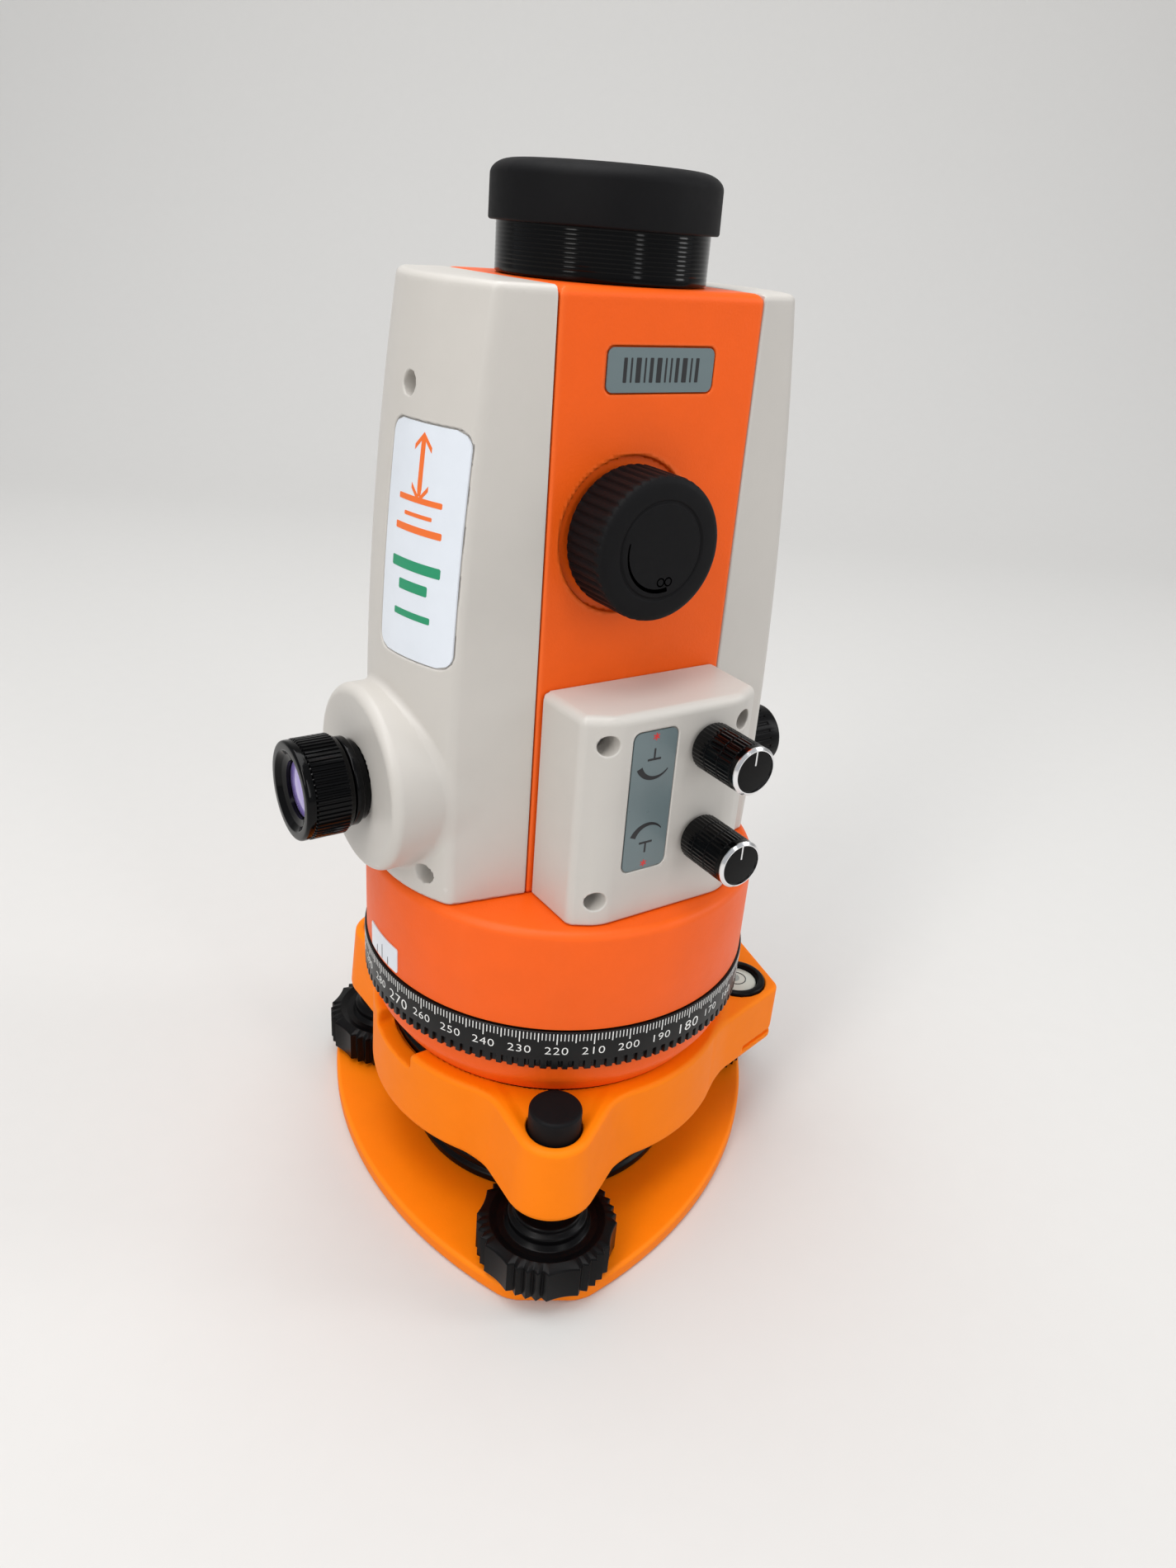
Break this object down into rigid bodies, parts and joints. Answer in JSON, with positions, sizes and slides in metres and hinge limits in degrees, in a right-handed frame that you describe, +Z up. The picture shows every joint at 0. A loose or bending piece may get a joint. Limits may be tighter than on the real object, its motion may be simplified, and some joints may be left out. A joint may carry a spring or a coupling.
{
  "type": "laser plummet on tribrach",
  "caption": "Zenith and nadir laser plummet with a turning telescope housing, graduated horizontal circle and three-screw tribrach foot.",
  "frame": {"origin": "centre of the bounding box at the height of the base plate's underside", "axes": "+Z up along the vertical axis, -Y out of the front with the focus knob, -X out of the eyepiece"},
  "size_m": [0.1592, 0.1432, 0.275],
  "materials": {
    "tribrach_orange": "semi-matt fine textured paint",
    "body_orange": "semi-matt pebbled paint",
    "warm_grey": "satin moulded plastic",
    "black_plastic": "satin moulded plastic",
    "black_metal": "black anodised, turned",
    "black_rubber": "matt rubber",
    "steel": "turned steel",
    "brass": "turned brass",
    "glass": "polished, coated",
    "label_grey": "printed foil",
    "label_white": "printed foil"
  },
  "bodies": {
    "base": {"base_plate": "tribrach_orange", "spring_plate": "black_plastic"},
    "tribrach": {"tribrach_body": "tribrach_orange", "footscrew_cap_1": "black_plastic", "footscrew_cap_2": "black_plastic", "footscrew_cap_3": "black_plastic", "circular_level_seat": "black_plastic", "circular_level_vial": "glass", "lower_flange": "body_orange", "locking_stud_1": "steel", "locking_stud_2": "steel", "locking_stud_3": "steel", "nadir_window": "glass", "vertical_axis": "steel"},
    "clamp_ring": {"clamp_ring": "black_metal"},
    "lock_knob": {"swivel_lock_knob": "black_plastic"},
    "graduated_ring": {"graduated_ring": "black_metal"},
    "alidade": {"drum": "body_orange", "nadir_laser": "brass", "main_housing": "body_orange", "serial_plate": "label_grey", "left_cover": "warm_grey", "right_cover": "warm_grey", "left_cover_screw_upper": "steel", "left_cover_screw_lower_front": "steel", "left_cover_screw_lower_rear": "steel", "right_cover_screw_upper": "steel", "right_cover_screw_lower_front": "steel", "right_cover_screw_lower_rear": "steel", "side_label": "label_white", "eyepiece_tube": "black_metal", "control_box": "warm_grey", "control_label": "label_grey", "box_screw_upper_left": "steel", "box_screw_upper_right": "steel", "box_screw_lower_left": "steel", "box_screw_lower_right": "steel", "zenith_laser_control": "steel", "nadir_laser_control": "steel", "objective_barrel": "black_metal", "objective_lens": "glass", "zenith_laser": "brass", "beam_splitter": "glass", "index_sticker": "label_white"},
    "diopter": {"diopter_ring": "black_metal", "eyepiece_lens": "glass"},
    "battery_cap": {"battery_cap": "black_plastic"},
    "battery_pack": {"battery_pack": "black_plastic"},
    "zenith_laser_knob": {"zenith_laser_knob": "black_metal"},
    "nadir_laser_knob": {"nadir_laser_knob": "black_metal"},
    "objective_cap": {"objective_cap": "black_rubber"},
    "focusing_cell": {"focusing_cell": "brass"},
    "focus_knob": {"focus_knob": "black_rubber", "focus_pinion": "steel"},
    "footscrew_1": {"footscrew_knob_1": "black_plastic", "footscrew_spindle_1": "steel"},
    "footscrew_2": {"footscrew_knob_2": "black_plastic", "footscrew_spindle_2": "steel"},
    "footscrew_3": {"footscrew_knob_3": "black_plastic", "footscrew_spindle_3": "steel"}
  },
  "joints": [
    {"name": "footscrew_1_turn", "type": "hinge", "parent": "base", "child": "footscrew_1", "pos_m": [-0.03062, -0.05283, 0.012], "axis": [0, 0, 1], "range_deg": [-1085, 1085]},
    {"name": "footscrew_2_turn", "type": "hinge", "parent": "base", "child": "footscrew_2", "pos_m": [0.06088, 0, 0.012], "axis": [0, 0, 1], "range_deg": [-1085, 1085]},
    {"name": "footscrew_3_turn", "type": "hinge", "parent": "base", "child": "footscrew_3", "pos_m": [-0.03062, 0.05283, 0.012], "axis": [0, 0, 1], "range_deg": [-1085, 1085]},
    {"name": "tribrach_lift", "type": "slide", "parent": "base", "child": "tribrach", "axis": [0, 0, 1], "range_m": [-0.003, 0.003]},
    {"name": "lock_knob_turn", "type": "hinge", "parent": "tribrach", "child": "lock_knob", "pos_m": [-0.00012, 0, 0.038], "axis": [0.5, 0.866, 0], "range_deg": [0, 120]},
    {"name": "clamp_ring_turn", "type": "hinge", "parent": "tribrach", "child": "clamp_ring", "pos_m": [-0.00012, 0, 0.05], "axis": [0, 0, 1], "range_deg": [0, 12]},
    {"name": "circle_turn", "type": "hinge", "parent": "tribrach", "child": "graduated_ring", "pos_m": [-0.00012, 0, 0.07], "axis": [0, 0, 1], "continuous": true},
    {"name": "alidade_turn", "type": "hinge", "parent": "tribrach", "child": "alidade", "pos_m": [-0.00012, 0, 0.09], "axis": [0, 0, 1], "continuous": true},
    {"name": "focus_turn", "type": "hinge", "parent": "alidade", "child": "focus_knob", "pos_m": [-0.00572, -0.034, 0.1982], "axis": [0, -1, 0], "range_deg": [-230, 230]},
    {"name": "focusing_slide", "type": "slide", "parent": "alidade", "child": "focusing_cell", "axis": [0, 0, 1], "range_m": [-0.0096, 0.0096]},
    {"name": "diopter_turn", "type": "hinge", "parent": "alidade", "child": "diopter", "pos_m": [-0.07312, 0, 0.1345], "axis": [-1, 0, 0], "range_deg": [-160, 160]},
    {"name": "zenith_laser_knob_turn", "type": "hinge", "parent": "alidade", "child": "zenith_laser_knob", "pos_m": [0.00908, -0.058, 0.1512], "axis": [0, -1, 0], "range_deg": [-150, 150]},
    {"name": "nadir_laser_knob_turn", "type": "hinge", "parent": "alidade", "child": "nadir_laser_knob", "pos_m": [0.00908, -0.058, 0.126], "axis": [0, -1, 0], "range_deg": [-150, 150]},
    {"name": "objective_cap_pull", "type": "slide", "parent": "alidade", "child": "objective_cap", "axis": [0, 0, 1], "range_m": [0, 0.04]},
    {"name": "battery_cap_pull", "type": "slide", "parent": "alidade", "child": "battery_cap", "axis": [1, 0, 0], "range_m": [0, 0.045]},
    {"name": "battery_pack_pull", "type": "slide", "parent": "alidade", "child": "battery_pack", "axis": [1, 0, 0], "range_m": [0, 0.045]}
  ],
  "couplings": [
    {"joint": "footscrew_1_turn", "follows": "tribrach_lift", "rad_per_m": -6283.2},
    {"joint": "footscrew_2_turn", "follows": "tribrach_lift", "rad_per_m": -6283.2},
    {"joint": "footscrew_3_turn", "follows": "tribrach_lift", "rad_per_m": -6283.2},
    {"joint": "clamp_ring_turn", "follows": "lock_knob_turn", "ratio": 0.1},
    {"joint": "focus_turn", "follows": "focusing_slide", "rad_per_m": 416.67},
    {"joint": "battery_pack_pull", "follows": "battery_cap_pull", "ratio": 1}
  ]
}
